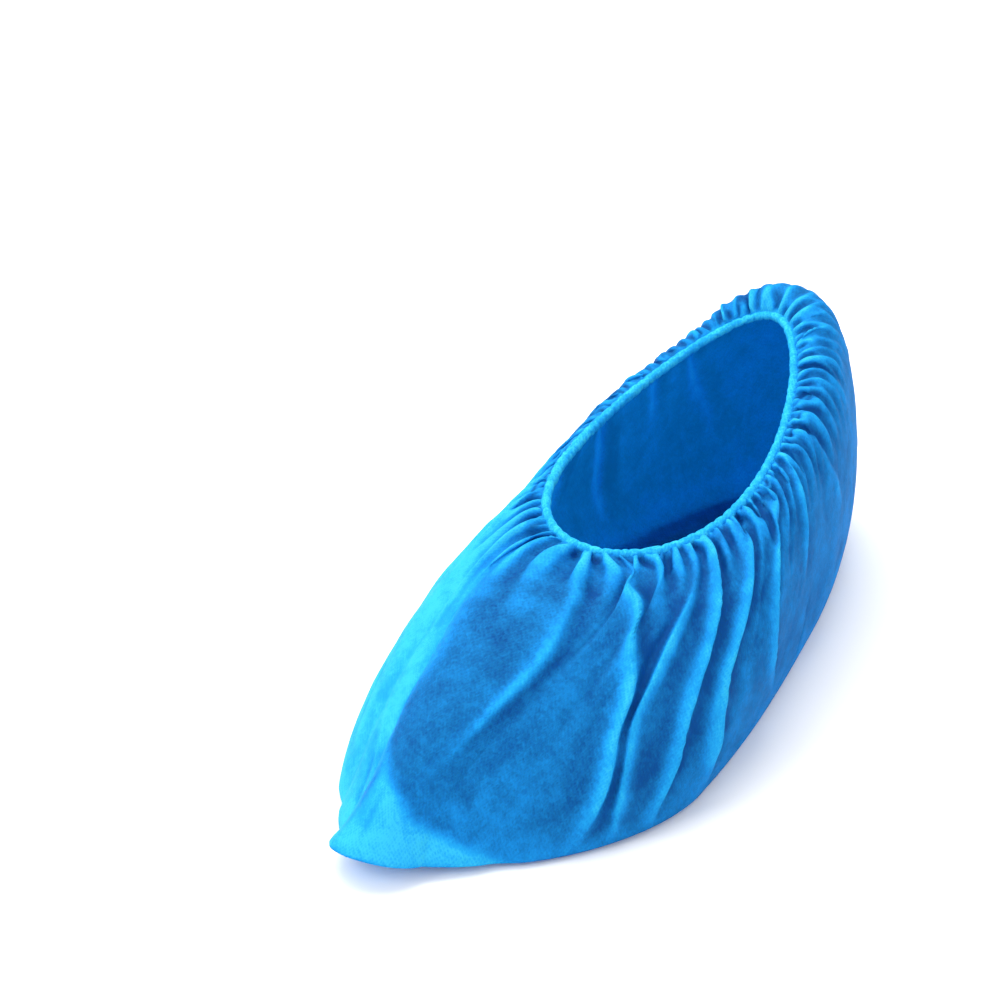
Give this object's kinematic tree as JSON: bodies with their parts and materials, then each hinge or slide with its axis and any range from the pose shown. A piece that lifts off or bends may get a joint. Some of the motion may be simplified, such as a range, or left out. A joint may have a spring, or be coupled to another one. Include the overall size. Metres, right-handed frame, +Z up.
{
  "type": "shoe cover",
  "caption": "Disposable cloth shoe cover in its worn shape: gathered oval opening with an elastic hem, long folds down the sides, soft pointed toe, full heel, flat sole.",
  "frame": {"origin": "on the floor, under the middle of the cover's bounding box", "axes": "+Z up, +Y from the toe to the heel, +X to the side that is on the viewer's right when the toe points at the viewer"},
  "size_m": [0.1332, 0.332, 0.1121],
  "materials": {
    "cloth": "matt azure spunbonded cloth, slightly see-through",
    "hem_cloth": "the same cloth, gathered in a narrow roll",
    "welded_cloth": "the same cloth, pressed and welded",
    "elastic": "matt white covered elastic"
  },
  "bodies": {
    "root": {"fabric_body": "cloth", "rim_hem": "hem_cloth", "elastic_cord": "elastic", "toe_seam": "welded_cloth", "heel_seam": "welded_cloth"}
  },
  "joints": []
}
